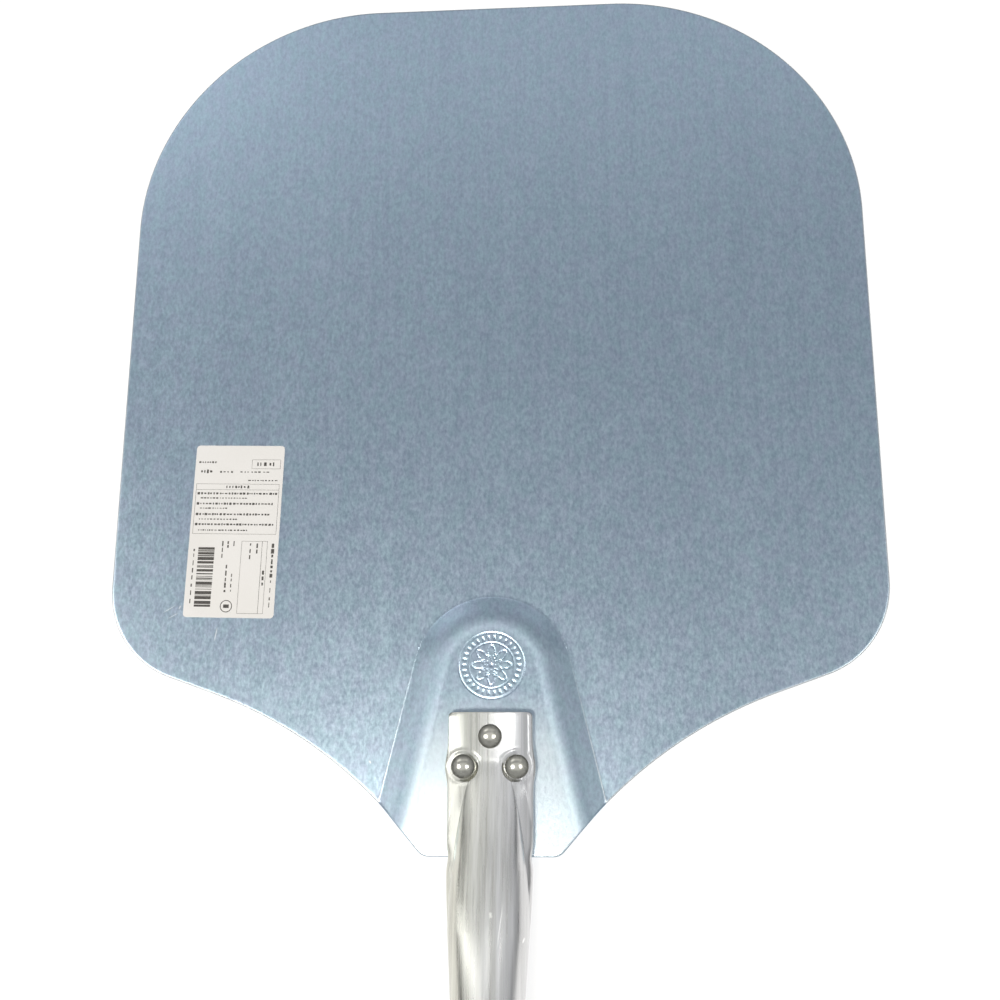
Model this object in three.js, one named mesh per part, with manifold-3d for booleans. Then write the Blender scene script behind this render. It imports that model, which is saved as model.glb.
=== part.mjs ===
import * as THREE from 'three';
import { mergeVertices } from 'three/addons/utils/BufferGeometryUtils.js';
import Module from 'manifold-3d';

// Pizza peel: a sheet-aluminium blade with a flattened aluminium tube riveted to its neck.
// Millimetres. The origin is the centre of the blade's flat underside, +Y points to the blade's
// front edge, the handle runs towards -Y, and +Z is the side that the handle is on.

// Driving dimensions: blade
const SHEET = 1.5;
const BLADE_WIDTH = 305;
const BLADE_LENGTH = 359;
const FRONT_CORNER_RADIUS = 101.5;
const REAR_CORNER_RADIUS = 38;
const FRONT_TO_REAR_CORNER = 256.5;      // front edge to the centre of the rear corner's arc
const SHOULDER_ANGLE = radians(19.5);    // first slope of the shoulder, from the X axis
const SHOULDER_STRAIGHT = 20;
const SHOULDER_RADIUS = 178;             // the hollow curve from the shoulder to the neck
const NECK_ANGLE = radians(49);          // last slope, at the neck
const NECK_CORNER_RADIUS = 5.5;

// Driving dimensions: pressed arch at the neck
const ARCH_RISE = 4;
const ARCH_RUN = 9.2;                    // width of the sloping wall
const ARCH_RADIUS = 30.6;                // foot of the wall, round the front of the arch
const ARCH_CENTRE_Y = -112.8;
const ARCH_FLARE = radians(13.6);        // each side, from the Y axis

// Driving dimensions: handle tube
const TUBE_DIAMETER = 25.4;
const TUBE_WALL = 1.3;
const FLAT_WIDTH = 32;
const FLAT_HEIGHT = 5.5;
const TUBE_FRONT_Y = -127;
const BULGE_START_Y = -146;              // the round part starts to rise out of the flat
const LIP_START_Y = -154;                // the two side lips start to rise
const WIDTH_START_Y = -181;              // the tube starts to narrow to its own diameter
const ROUND_START_Y = -245;
const BULGE_START_SHARE = 0.24;          // of the flat's width, where the bulge starts
const OVERALL_LENGTH = 900;

// Driving dimensions: rivets
const RIVET_DIAMETER = 5;
const RIVET_CLEARANCE = 0.4;             // hole larger than shank, on the diameter
const RIVET_HEAD_DIAMETER = 8.8;
const RIVET_HEAD_HEIGHT = 3;
const RIVET_TAIL_DIAMETER = 8;
const RIVET_TAIL_HEIGHT = 2.2;
const RIVET_TAIL_TAPER = 0.6;            // of the tail's radius at its face, and of its height at its rim
const RIVET_GAP = 0.05;                  // under the head and above the tail
const RIVETS = [
  { name: 'front_rivet', x: 0, y: -136 },
  { name: 'left_rivet', x: -10, y: -147 },
  { name: 'right_rivet', x: 10, y: -147 },
];

// Driving dimensions: label
const LABEL_WIDTH = 36.5;
const LABEL_LENGTH = 70.5;
const LABEL_THICKNESS = 0.2;
const LABEL_CORNER = 1.5;
const LABEL_CENTRE = [-103.8, -54.5];
const LABEL_TURN = radians(-1.3);

// Driving dimensions: hanging cap
const CAP_LENGTH = 30;                   // beyond the end of the tube
const CAP_INSERT_LENGTH = 20;
const CAP_INSERT_GAP = 0.3;              // to the tube's inside, all round
const CAP_COLLAR_DIAMETER = 27;
const CAP_COLLAR_LENGTH = 3;
const CAP_COLLAR_EDGE = 1;
const CAP_RIB_PITCH = 5;
const CAP_RIB_LENGTH = 1.5;
const CAP_RIB_HEIGHT = 1.2;
const CAP_INSERT_LEAD = 2;               // taper at the insert's front
const CAP_TAPER_END_RADIUS = 6.4;
const CAP_NECK_LENGTH = 11;              // collar's face to the end of the taper
const CAP_TONGUE_WIDTH = 22;
const CAP_TONGUE_THICKNESS = 8;
const CAP_EYE_DIAMETER = 9;

// Derived places
const FRONT_Y = BLADE_LENGTH / 2;
const NECK_Y = -BLADE_LENGTH / 2;
const PAD_TOP = SHEET + ARCH_RISE;
const TUBE_RADIUS = TUBE_DIAMETER / 2;
const TUBE_AXIS_Z = PAD_TOP + TUBE_RADIUS;
const CAP_END_Y = FRONT_Y - OVERALL_LENGTH;
const TUBE_END_Y = CAP_END_Y + CAP_LENGTH;

// Facets
const WELD_DISTANCE = 1e-5;
const CORNER_STEPS = 18;
const TUBE_STEPS = 22;
const HALF_RING_STEPS = 20;
const ROUND_STEPS = 24;
const LABEL_CORNER_STEPS = 4;
const DOME_STEPS = 6;
const STATION_CROWDING = 1.3;            // above 1, sections stand closer together near the flat

// Finishes
const SHEET_ALUMINIUM = { color: 0x8fa1b1, roughness: 0.42, metalness: 0.95 };
const TUBE_ALUMINIUM = { color: 0xc8c4bc, roughness: 0.28, metalness: 1 };
const RIVET_METAL = { color: 0xaaa596, roughness: 0.22, metalness: 1 };
const LABEL_PAPER = { color: 0xe8e6e1, roughness: 0.6, metalness: 0 };
const CAP_PLASTIC = { color: 0x2b2d2e, roughness: 0.55, metalness: 0 };

const wasm = await Module();
wasm.setup();

function radians(degrees) {
  return (degrees * Math.PI) / 180;
}

function solid(geometry) {
  const bare = geometry.clone();
  bare.deleteAttribute('normal');
  bare.deleteAttribute('uv');
  const merged = mergeVertices(bare, WELD_DISTANCE);
  return new wasm.Manifold(new wasm.Mesh({
    numProp: 3,
    vertProperties: new Float32Array(merged.attributes.position.array),
    triVerts: new Uint32Array(merged.index.array),
  }));
}

function geometryOf(manifold) {
  const mesh = manifold.getMesh();
  const geometry = new THREE.BufferGeometry();
  geometry.setAttribute('position', new THREE.BufferAttribute(new Float32Array(mesh.vertProperties), 3));
  geometry.setIndex(new THREE.BufferAttribute(new Uint32Array(mesh.triVerts), 1));
  const flat = geometry.toNonIndexed();
  flat.computeVertexNormals();
  return flat;
}

function part(name, geometry, finish) {
  const mesh = new THREE.Mesh(geometry, new THREE.MeshStandardMaterial(finish));
  mesh.name = name;
  return mesh;
}

// Points of an arc, from one angle to the other.
function arc(cx, cy, radius, from, to, steps) {
  const points = [];
  for (let i = 0; i <= steps; i += 1) {
    const angle = from + ((to - from) * i) / steps;
    points.push(new THREE.Vector2(cx + radius * Math.cos(angle), cy + radius * Math.sin(angle)));
  }
  return points;
}

function prism(points, low, high) {
  const options = { depth: high - low, bevelEnabled: false };
  return new THREE.ExtrudeGeometry(new THREE.Shape(points), options).translate(0, 0, low);
}

// A closed solid through rings with equal numbers of points, each counter-clockwise seen from the last ring.
function loft(rings) {
  const count = rings[0].length;
  const positions = rings.flat().flatMap((p) => [p.x, p.y, p.z]);
  const index = [];
  for (let r = 0; r + 1 < rings.length; r += 1) {
    for (let i = 0; i < count; i += 1) {
      const a = r * count + i;
      const b = r * count + ((i + 1) % count);
      index.push(a, b, b + count, a, b + count, a + count);
    }
  }
  const outline = rings[0].map((p) => new THREE.Vector2(p.x, p.y));
  const last = (rings.length - 1) * count;
  for (const [a, b, c] of THREE.ShapeUtils.triangulateShape(outline, [])) {
    index.push(c, b, a, last + a, last + b, last + c);
  }
  const geometry = new THREE.BufferGeometry();
  geometry.setAttribute('position', new THREE.Float32BufferAttribute(positions, 3));
  geometry.setIndex(index);
  return geometry;
}

// Half of the blade's outline, from the front edge to the neck, on the +X side.
function halfOutline() {
  const halfWidth = BLADE_WIDTH / 2;
  const frontCorner = arc(halfWidth - FRONT_CORNER_RADIUS, FRONT_Y - FRONT_CORNER_RADIUS,
    FRONT_CORNER_RADIUS, Math.PI / 2, 0, CORNER_STEPS);
  const rearCorner = arc(halfWidth - REAR_CORNER_RADIUS, FRONT_Y - FRONT_TO_REAR_CORNER,
    REAR_CORNER_RADIUS, 0, SHOULDER_ANGLE - Math.PI / 2, CORNER_STEPS);
  const corner = rearCorner[CORNER_STEPS];
  const startX = corner.x - SHOULDER_STRAIGHT * Math.cos(SHOULDER_ANGLE);
  const startY = corner.y - SHOULDER_STRAIGHT * Math.sin(SHOULDER_ANGLE);
  const shoulder = arc(startX + SHOULDER_RADIUS * Math.sin(SHOULDER_ANGLE),
    startY - SHOULDER_RADIUS * Math.cos(SHOULDER_ANGLE), SHOULDER_RADIUS,
    Math.PI / 2 + SHOULDER_ANGLE, Math.PI / 2 + NECK_ANGLE, CORNER_STEPS);
  const end = shoulder[CORNER_STEPS];
  const cornerY = NECK_Y + NECK_CORNER_RADIUS;
  const meetY = cornerY - NECK_CORNER_RADIUS * Math.cos(NECK_ANGLE);
  const meetX = end.x - (end.y - meetY) / Math.tan(NECK_ANGLE);
  const neckCorner = arc(meetX - NECK_CORNER_RADIUS * Math.sin(NECK_ANGLE), cornerY,
    NECK_CORNER_RADIUS, NECK_ANGLE - Math.PI / 2, -Math.PI / 2, CORNER_STEPS / 3);
  return [...frontCorner, ...rearCorner, ...shoulder, ...neckCorner];
}

function bladeOutline() {
  const right = halfOutline();
  const left = right.map((p) => new THREE.Vector2(-p.x, p.y)).reverse();
  return [...left, ...right].reverse();
}

// The arch seen from above, drawn in by an inset and run out past the end of the neck.
function archRing(inset, z) {
  const radius = ARCH_RADIUS - inset;
  const runOutY = NECK_Y - ARCH_RUN;
  const round = arc(0, ARCH_CENTRE_Y, radius, ARCH_FLARE, Math.PI - ARCH_FLARE, CORNER_STEPS);
  const foot = round[0].x + (round[0].y - runOutY) * Math.tan(ARCH_FLARE);
  const points = [new THREE.Vector2(foot, runOutY), ...round, new THREE.Vector2(-foot, runOutY)];
  return points.map((p) => new THREE.Vector3(p.x, p.y, z));
}

// The arch as a block with sloping walls. Its foot goes one sheet further down and out.
function archBlock(baseZ) {
  const slope = ARCH_RUN / ARCH_RISE;
  return solid(loft([archRing(-SHEET * slope, baseZ - SHEET), archRing(ARCH_RUN, baseZ + ARCH_RISE)]));
}

function rivetHoles() {
  const radius = (RIVET_DIAMETER + RIVET_CLEARANCE) / 2;
  const depth = 4 * FLAT_HEIGHT;         // reaches past the tube and the pad both ways
  return RIVETS.map(({ x, y }) => {
    const hole = new THREE.CylinderGeometry(radius, radius, depth, ROUND_STEPS);
    return solid(hole.rotateX(Math.PI / 2).translate(x, y, PAD_TOP));
  });
}

function blade() {
  const outline = bladeOutline();
  const sheet = solid(prism(outline, 0, SHEET));
  const arch = archBlock(SHEET).intersect(solid(prism(outline, SHEET / 2, PAD_TOP + SHEET)));
  let body = sheet.add(arch).subtract(archBlock(0));
  for (const hole of rivetHoles()) {
    body = body.subtract(hole);
  }
  return part('blade', geometryOf(body), SHEET_ALUMINIUM);
}

// How far y lies from a start towards the round part, from 0 to 1.
function progress(y, start) {
  return THREE.MathUtils.clamp((start - y) / (start - ROUND_START_Y), 0, 1);
}

const easeOut = (u) => 1 - (1 - u) ** 2;
const roundHalf = (q) => Math.sqrt(Math.max(0, 1 - q * q));
const flatHalf = (q) => Math.max(0, 1 - q ** 4) ** 0.25;

// One section of the tube: a flat oval with side lips, and the bulge that grows into the round tube.
function tubeSection(y, inset) {
  const bulging = progress(y, BULGE_START_Y);
  const lifting = easeOut(progress(y, LIP_START_Y));
  const narrowing = easeOut(progress(y, WIDTH_START_Y));
  const halfWidth = THREE.MathUtils.lerp(FLAT_WIDTH, TUBE_DIAMETER, narrowing) / 2 - inset;
  const height = THREE.MathUtils.lerp(FLAT_HEIGHT, TUBE_DIAMETER, easeOut(bulging)) - 2 * inset;
  const middle = THREE.MathUtils.lerp(FLAT_HEIGHT, TUBE_DIAMETER, lifting) / 2 - inset;
  const lip = (FLAT_HEIGHT / 2 - inset) * (1 - lifting);
  const bulge = height - middle - lip;
  const bulgeShare = 1 - (1 - BULGE_START_SHARE) * (1 - bulging) ** 2;
  const points = [];
  for (let i = 0; i < 2 * HALF_RING_STEPS; i += 1) {
    const turn = (Math.PI * i) / HALF_RING_STEPS;
    const q = Math.cos(turn);
    const above = lip * flatHalf(q) + bulge * roundHalf(q / bulgeShare);
    const below = -middle * THREE.MathUtils.lerp(flatHalf(q), roundHalf(q), narrowing);
    const z = PAD_TOP + inset + middle + (i <= HALF_RING_STEPS ? above : below);
    points.push(new THREE.Vector3(halfWidth * q, y, z));
  }
  return points;
}

function handleTube() {
  const stations = [TUBE_FRONT_Y];
  for (let i = 0; i <= TUBE_STEPS; i += 1) {
    stations.push(THREE.MathUtils.lerp(BULGE_START_Y, ROUND_START_Y, (i / TUBE_STEPS) ** STATION_CROWDING));
  }
  stations.push(TUBE_END_Y);
  const outside = stations.map((y) => tubeSection(y, 0));
  const inside = stations.map((y) => tubeSection(y, TUBE_WALL)).reverse();
  let body = solid(closedSleeve([...outside, ...inside]));
  for (const hole of rivetHoles()) {
    body = body.subtract(hole);
  }
  return part('handle_tube', geometryOf(body), TUBE_ALUMINIUM);
}

// Joins rings into a skin whose last ring meets the first, such as a tube's outside and inside.
function closedSleeve(rings) {
  const count = rings[0].length;
  const total = rings.length * count;
  const index = [];
  for (let r = 0; r < rings.length; r += 1) {
    for (let i = 0; i < count; i += 1) {
      const a = r * count + i;
      const b = r * count + ((i + 1) % count);
      const c = (b + count) % total;
      const d = (a + count) % total;
      index.push(a, b, c, a, c, d);
    }
  }
  const geometry = new THREE.BufferGeometry();
  const positions = rings.flat().flatMap((p) => [p.x, p.y, p.z]);
  geometry.setAttribute('position', new THREE.Float32BufferAttribute(positions, 3));
  geometry.setIndex(index);
  return geometry;
}

// Half profile of a rivet: set tail, shank and round head, from the bottom of the axis to the top.
function rivet({ name, x, y }) {
  const tailTop = ARCH_RISE - RIVET_GAP;
  const headFoot = PAD_TOP + FLAT_HEIGHT + RIVET_GAP;
  const tailRadius = RIVET_TAIL_DIAMETER / 2;
  const headRadius = RIVET_HEAD_DIAMETER / 2;
  const shankRadius = RIVET_DIAMETER / 2;
  const profile = [new THREE.Vector2(0, tailTop - RIVET_TAIL_HEIGHT)];
  profile.push(new THREE.Vector2(RIVET_TAIL_TAPER * tailRadius, tailTop - RIVET_TAIL_HEIGHT));
  profile.push(new THREE.Vector2(tailRadius, tailTop - RIVET_TAIL_TAPER * RIVET_TAIL_HEIGHT));
  profile.push(new THREE.Vector2(tailRadius, tailTop));
  profile.push(new THREE.Vector2(shankRadius, tailTop));
  profile.push(new THREE.Vector2(shankRadius, headFoot));
  for (let i = 0; i < DOME_STEPS; i += 1) {
    const turn = (i / DOME_STEPS) * (Math.PI / 2);
    const height = headFoot + RIVET_HEAD_HEIGHT * Math.sin(turn);
    profile.push(new THREE.Vector2(headRadius * Math.cos(turn), height));
  }
  profile.push(new THREE.Vector2(0, headFoot + RIVET_HEAD_HEIGHT));
  const geometry = new THREE.LatheGeometry(profile, ROUND_STEPS);
  const mesh = part(name, geometryOf(solid(geometry.rotateX(Math.PI / 2))), RIVET_METAL);
  mesh.position.set(x, y, 0);
  return mesh;
}

function label() {
  const w = LABEL_WIDTH / 2 - LABEL_CORNER;
  const l = LABEL_LENGTH / 2 - LABEL_CORNER;
  const quarter = Math.PI / 2;
  const centres = [[w, l], [-w, l], [-w, -l], [w, -l]];
  const points = centres.flatMap(([x, y], i) => arc(x, y, LABEL_CORNER, i * quarter, (i + 1) * quarter,
    LABEL_CORNER_STEPS));
  const mesh = part('label', prism(points, 0, LABEL_THICKNESS), LABEL_PAPER);
  mesh.position.set(LABEL_CENTRE[0], LABEL_CENTRE[1], SHEET);
  mesh.rotation.z = LABEL_TURN;
  return mesh;
}

// The round part of the cap: ribbed insert, collar and taper, turned about the tube's axis.
function capProfile() {
  const insertRadius = TUBE_RADIUS - TUBE_WALL - CAP_INSERT_GAP;
  const coreRadius = insertRadius - CAP_RIB_HEIGHT;
  const profile = [new THREE.Vector2(0, CAP_INSERT_LENGTH)];
  profile.push(new THREE.Vector2(coreRadius - CAP_INSERT_LEAD, CAP_INSERT_LENGTH));
  for (let y = CAP_INSERT_LENGTH - CAP_RIB_PITCH / 2; y > CAP_RIB_LENGTH; y -= CAP_RIB_PITCH) {
    profile.push(new THREE.Vector2(coreRadius, y + CAP_RIB_LENGTH));
    profile.push(new THREE.Vector2(insertRadius, y));
    profile.push(new THREE.Vector2(coreRadius, y));
  }
  profile.push(new THREE.Vector2(coreRadius, 0));
  profile.push(new THREE.Vector2(CAP_COLLAR_DIAMETER / 2, 0));
  profile.push(new THREE.Vector2(CAP_COLLAR_DIAMETER / 2, CAP_COLLAR_EDGE - CAP_COLLAR_LENGTH));
  profile.push(new THREE.Vector2(CAP_COLLAR_DIAMETER / 2 - CAP_COLLAR_EDGE, -CAP_COLLAR_LENGTH));
  profile.push(new THREE.Vector2(CAP_TAPER_END_RADIUS, -CAP_NECK_LENGTH));
  profile.push(new THREE.Vector2(0, -CAP_NECK_LENGTH));
  return profile.reverse();
}

function hangingCap() {
  const round = solid(new THREE.LatheGeometry(capProfile(), ROUND_STEPS));
  const tongueRadius = CAP_TONGUE_WIDTH / 2;
  const eyeY = tongueRadius - CAP_LENGTH;
  const end = arc(0, eyeY, tongueRadius, Math.PI, 2 * Math.PI, CORNER_STEPS);
  const root = [new THREE.Vector2(tongueRadius, -CAP_COLLAR_LENGTH / 2),
    new THREE.Vector2(-tongueRadius, -CAP_COLLAR_LENGTH / 2)];
  const halfThickness = CAP_TONGUE_THICKNESS / 2;
  const tongue = solid(prism([...end, ...root], -halfThickness, halfThickness));
  const eye = new THREE.CylinderGeometry(CAP_EYE_DIAMETER / 2, CAP_EYE_DIAMETER / 2,
    2 * CAP_TONGUE_WIDTH, ROUND_STEPS).rotateX(Math.PI / 2).translate(0, eyeY, 0);
  const body = round.add(tongue).subtract(solid(eye));
  const mesh = part('hanging_cap', geometryOf(body), CAP_PLASTIC);
  mesh.position.set(0, TUBE_END_Y, TUBE_AXIS_Z);
  return mesh;
}

const peel = new THREE.Group();
peel.add(blade(), handleTube(), ...RIVETS.map(rivet), label(), hangingCap());

export default peel;
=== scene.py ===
"""A pizza peel: sheet-aluminium blade with a pressed arch, and a riveted aluminium tube handle.

Metres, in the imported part's own frame: the origin is the centre of the blade's flat underside,
+Y points to the blade's front edge, the handle runs towards -Y, and +Z is the handle's side.
"""
import math
from functools import reduce

import bpy
import numpy as np
from mathutils import Euler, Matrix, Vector
from mathutils.geometry import delaunay_2d_cdt


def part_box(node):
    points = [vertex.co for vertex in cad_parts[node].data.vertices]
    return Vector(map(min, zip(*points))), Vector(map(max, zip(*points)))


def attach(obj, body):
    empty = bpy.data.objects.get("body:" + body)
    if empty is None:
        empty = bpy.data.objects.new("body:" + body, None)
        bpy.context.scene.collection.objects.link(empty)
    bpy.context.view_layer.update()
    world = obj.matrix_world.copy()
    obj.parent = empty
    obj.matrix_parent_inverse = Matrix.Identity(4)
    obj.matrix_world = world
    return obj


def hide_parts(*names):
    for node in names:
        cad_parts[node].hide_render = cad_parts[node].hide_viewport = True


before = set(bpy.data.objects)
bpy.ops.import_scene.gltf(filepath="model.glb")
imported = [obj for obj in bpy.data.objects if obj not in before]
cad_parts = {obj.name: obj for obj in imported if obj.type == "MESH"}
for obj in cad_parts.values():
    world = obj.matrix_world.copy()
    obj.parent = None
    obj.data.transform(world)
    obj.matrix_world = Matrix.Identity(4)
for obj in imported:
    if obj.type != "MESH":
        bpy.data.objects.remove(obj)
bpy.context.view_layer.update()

MM = 0.001
SHARP_ANGLE = math.radians(35)

# Places and sizes that the imported parts give
BLADE_LOW, BLADE_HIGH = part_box("blade")
TUBE_LOW, TUBE_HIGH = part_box("handle_tube")
LABEL_LOW, LABEL_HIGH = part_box("label")
CAP_LOW, CAP_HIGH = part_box("hanging_cap")
HALF_WIDTH = BLADE_HIGH.x
FRONT_Y = BLADE_HIGH.y
NECK_Y = BLADE_LOW.y
SHEET = LABEL_LOW.z
PAD_TOP = BLADE_HIGH.z
ARCH_RISE = PAD_TOP - SHEET
TUBE_FRONT_Y = TUBE_HIGH.y
TUBE_END_Y = TUBE_LOW.y
FLAT_WIDTH = TUBE_HIGH.x - TUBE_LOW.x
TUBE_DIAMETER = TUBE_HIGH.z - PAD_TOP
TUBE_AXIS_Z = PAD_TOP + TUBE_DIAMETER / 2
RIVETS = ("front_rivet", "left_rivet", "right_rivet")

# Blade outline
FRONT_CORNER_RADIUS = 101.5 * MM
REAR_CORNER_RADIUS = 38 * MM
FRONT_TO_REAR_CORNER = 256.5 * MM
SHOULDER_ANGLE = math.radians(19.5)
SHOULDER_STRAIGHT = 20 * MM
SHOULDER_RADIUS = 178 * MM
NECK_ANGLE = math.radians(49)
NECK_CORNER_RADIUS = 5.5 * MM
OUTLINE_STEP = 1.1 * MM
EDGE_REACH = 1.0 * MM                  # the cut edge is rolled over this far in from the outline,
EDGE_DROP = 0.4 * MM                   # and this far down
EDGE_STEPS = 5
GUARD_INSET = 0.5 * MM
FLAT_PITCH = 8 * MM                    # spacing of the mesh points on the flat
PAD_PITCH = 2.5 * MM

# Pressed arch
ARCH_RUN = 9.2 * MM
ARCH_RADIUS = 30.6 * MM
ARCH_CENTRE_Y = -112.8 * MM
ARCH_FLARE = math.radians(13.6)
FOOT_BEND = 0.45 * MM                  # half-width of the sharp bend at the wall's foot
TOP_BEND = 2.6 * MM                    # half-width of the soft bend at its top
# Mesh rows along the wall: distances inside its foot
WALL_ROWS = (-2.6, -1.4, -0.8, -0.45, -0.2, 0, 0.2, 0.45, 0.8, 1.5, 2.5,
             3.6, 4.8, 6, 7, 8, 9, 10, 11, 12.2, 13.5)
WALL_STEP = 1.4 * MM

# Stamped roundel: rings, as shares of its radius, and half-widths of its lines
STAMP_Y = -109.2 * MM
STAMP_RADIUS = 13 * MM
STAMP_DEPTH = 0.19 * MM
STAMP_PETALS = 8
STAMP_FLUTES = 30
STAMP_RIM = 0.965
STAMP_FLUTE_RING = 0.81
STAMP_INNER_RING = 0.67
STAMP_REACH = 1.05                     # of the fine mesh round it
RIM_LINE = 0.4 * MM
FLUTE_LINE = 1.1 * MM
RING_LINE = 0.3 * MM
PETAL_LINE = 0.5 * MM
INNER_PETAL_LINE = 0.35 * MM
BOSS_RADIUS = 0.9 * MM

# Handle tube
TUBE_WALL = 1.3 * MM
FLAT_HEIGHT = 5.5 * MM
BULGE_START_Y = -143.7 * MM
BULGE_FULL_Y = -204 * MM               # the bulge is as wide as the tube from here
BULGE_WIDENING = 0.36                  # power of the bulge's widening: a small one is sudden
BULGE_EASE = 0.07                      # how softly it starts to rise
BULGE_TIP = 4.8 * MM                   # length of its first stretch, which has the finest mesh
LEAST_SHARE = 0.05                     # of the half-width, between the creases in the mesh
SKIRT_START_Y = -146 * MM              # low facets on both sides of the bulge
SKIRT_END_Y = -171 * MM
SKIRT_START_SHARE = 0.72
SKIRT_HEIGHT = 1.5 * MM
LIP_START_Y = -160 * MM
WIDTH_START_Y = -176 * MM
ROUND_START_Y = -245 * MM
RIM_ROUND = 0.3 * MM
PLATE_CORNER = 1.6 * MM
PLATE_CROWN = 0.25 * MM

# Rivets
HOLE_RADIUS = 2.7 * MM
SHANK_RADIUS = 2.5 * MM
RIM_LEAN = math.radians(44)            # slope of the head's dome where it meets its short upright rim
RIM_BAND = 0.08 * MM                   # under the dome's foot: holds the shading of the edge
HEAD_GAP = 0.02 * MM                   # under the head
HEAD_BEVEL = 0.1 * MM
TAIL_GAP = 0.05 * MM                   # above the tail
TAIL_TO_HEAD = 8 / 8.8                 # tail's radius as a share of the head's
TAIL_FACE = 0.45                       # the tail's flat end and its edge, as shares of its radius
TAIL_EDGE = 0.6
TAIL_STEP = 0.05 * MM
TAIL_ROUND = 1.6 * MM                  # height of its rounded side
SET_RADIUS = 5.0 * MM                  # pressed seats of the two rear rivets
SET_WALL = 0.9 * MM
SET_DEPTH = 0.25 * MM
SET_RIDGE = 0.15 * MM
SIDE_SWELL = 1.1 * MM                  # how far the plate's sides swell beside them
SWELL_LENGTH = 5 * MM
SIDE_DENT = 0.6 * MM                   # how far they are pinched in at the neck's end
DENT_LENGTH = 3 * MM

# Label
LABEL_CORNER = 1.5 * MM
LABEL_TURN = math.radians(-1.3)
LABEL_WIDTH = 36.5 * MM
LABEL_LENGTH = 70.5 * MM
HAIRLINE = 0.11 * MM
DASH_LENGTH = 0.022                    # share of the label's width or length
STRIPES_START = 0.6
STRIPES_END = 0.94
PRINT_LIFT = 0.03 * MM                 # how far the ink stands above the paper
STRIPE_SIZES = (0.0035, 0.007, 0.014, 0.018)
STRIPE_GAPS = (0.0035, 0.006, 0.009)
# Rows of dashes: start, end, place, weight and gap, as shares of the label's width or length
LEVEL_ROWS = (
    (0.04, 0.235, 0.1, 0.009, 0.01), (0.7, 0.92, 0.11, 0.022, 0.03),
    (0.07, 0.21, 0.155, 0.02, 0.012), (0.285, 0.46, 0.157, 0.01, 0.02),
    (0.515, 0.855, 0.157, 0.007, 0.02), (0.61, 0.965, 0.207, 0.007, 0.014),
    (0.37, 0.66, 0.246, 0.014, 0.016),
)
UPRIGHT_ROWS = (
    (0.61, 0.93, 0.066, 0.014, 0.018), (0.563, 0.66, 0.38, 0.014, 0.01),
    (0.563, 0.61, 0.44, 0.026, 0.006), (0.7, 0.87, 0.44, 0.022, 0.01),
    (0.563, 0.6, 0.505, 0.018, 0.01), (0.75, 0.87, 0.505, 0.01, 0.014),
    (0.575, 0.67, 0.69, 0.014, 0.014), (0.575, 0.64, 0.765, 0.018, 0.01),
    (0.73, 0.82, 0.85, 0.02, 0.014), (0.575, 0.775, 0.94, 0.03, 0.008),
    (0.785, 0.97, 0.94, 0.012, 0.02),
)
# Rows of the list in the box: place and end; every other row starts with a square
LIST_ROWS = ((0.285, 0.95), (0.312, 0.62), (0.345, 0.92), (0.372, 0.42),
             (0.407, 0.9), (0.436, 0.53), (0.466, 0.93), (0.5, 0.64))

# Hanging cap
INSERT_GAP = 0.3 * MM
RIB_PITCH = 5 * MM
RIB_HEIGHT = 1.2 * MM
INSERT_LEAD = 2 * MM                   # taper at the insert's front
COLLAR_LENGTH = 3 * MM
COLLAR_INNER_EDGE = 0.4 * MM
COLLAR_OUTER_EDGE = 1.2 * MM
TAPER_END = 12.5 * MM                  # from the tube's end
TAPER_END_RADIUS = 3.5 * MM
TONGUE_RADIUS = 11 * MM
TONGUE_THICKNESS = 8 * MM
TONGUE_EDGE = 1.2 * MM
TONGUE_ROOT = 1.5 * MM                 # how far in front of the collar's rear it starts
EYE_RADIUS = 4.5 * MM
EYE_FLARE = 1.1 * MM

# Scratches: start, end and half-width, in mm
SHEET_SCRATCHES = (
    ((-108.6, -93.2), (-109.6, -99.0), 0.3),
    ((-131.0, -87.6), (-126.0, -84.6), 0.16),
    ((-129.0, -90.0), (-124.6, -87.6), 0.14),
    ((-124.6, -86.2), (-123.8, -84.6), 0.4),
    ((-46.9, -144.6), (-46.1, -145.8), 0.4),
)
TUBE_SCRATCHES = (
    ((5.8, -194.0), (3.8, -209.5), 0.3),
    ((1.4, -196.6), (1.8, -199.0), 0.7),
    ((13.2, -205.6), (12.5, -207.6), 0.35),
)

# Stage
WARM = (1, 0.94, 0.83)
WALL_COLOUR = (0.975, 1, 1.03, 1)
HORIZON_LIGHT = 0.1
SKY_LIGHT = 0.367
BACKDROP_LIGHT = 0.95
FLOOR_HALF = 6.0
FLOOR_Z = -0.5 * MM
FLOOR_GREY = (0.3, 0.3, 0.3, 1)
FLOOR_GLOW = 0.8
CAMERA_LENS = 43.49
CAMERA_PLACE = (34.7 * MM, -154.9 * MM, 467.3 * MM)
CAMERA_TURN = (13.44, 3.88, 0.15)      # degrees


# -------------------- meshes

def smoothstep(low, high, value):
    t = np.clip((value - low) / (high - low), 0, 1)
    return t * t * (3 - 2 * t)


def lerp(a, b, t):
    return a + (b - a) * t


def mesh_object(name, verts, faces):
    mesh = bpy.data.meshes.new(name)
    mesh.from_pydata([tuple(float(c) for c in v) for v in verts], [], faces)
    mesh.update()
    made = bpy.data.objects.new(name, mesh)
    bpy.context.scene.collection.objects.link(made)
    return made


def new_piece(name, verts, faces, material, nodes=(), sharp=SHARP_ANGLE):
    """A mesh object that rides on the one body, smooth except across edges sharper than an angle."""
    piece = mesh_object(name, verts, faces)
    piece.data.shade_smooth()
    piece.data.set_sharp_from_angle(angle=sharp)
    piece.data.materials.append(material)
    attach(piece, "root")
    if nodes:
        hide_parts(*nodes)
    return piece


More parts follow.
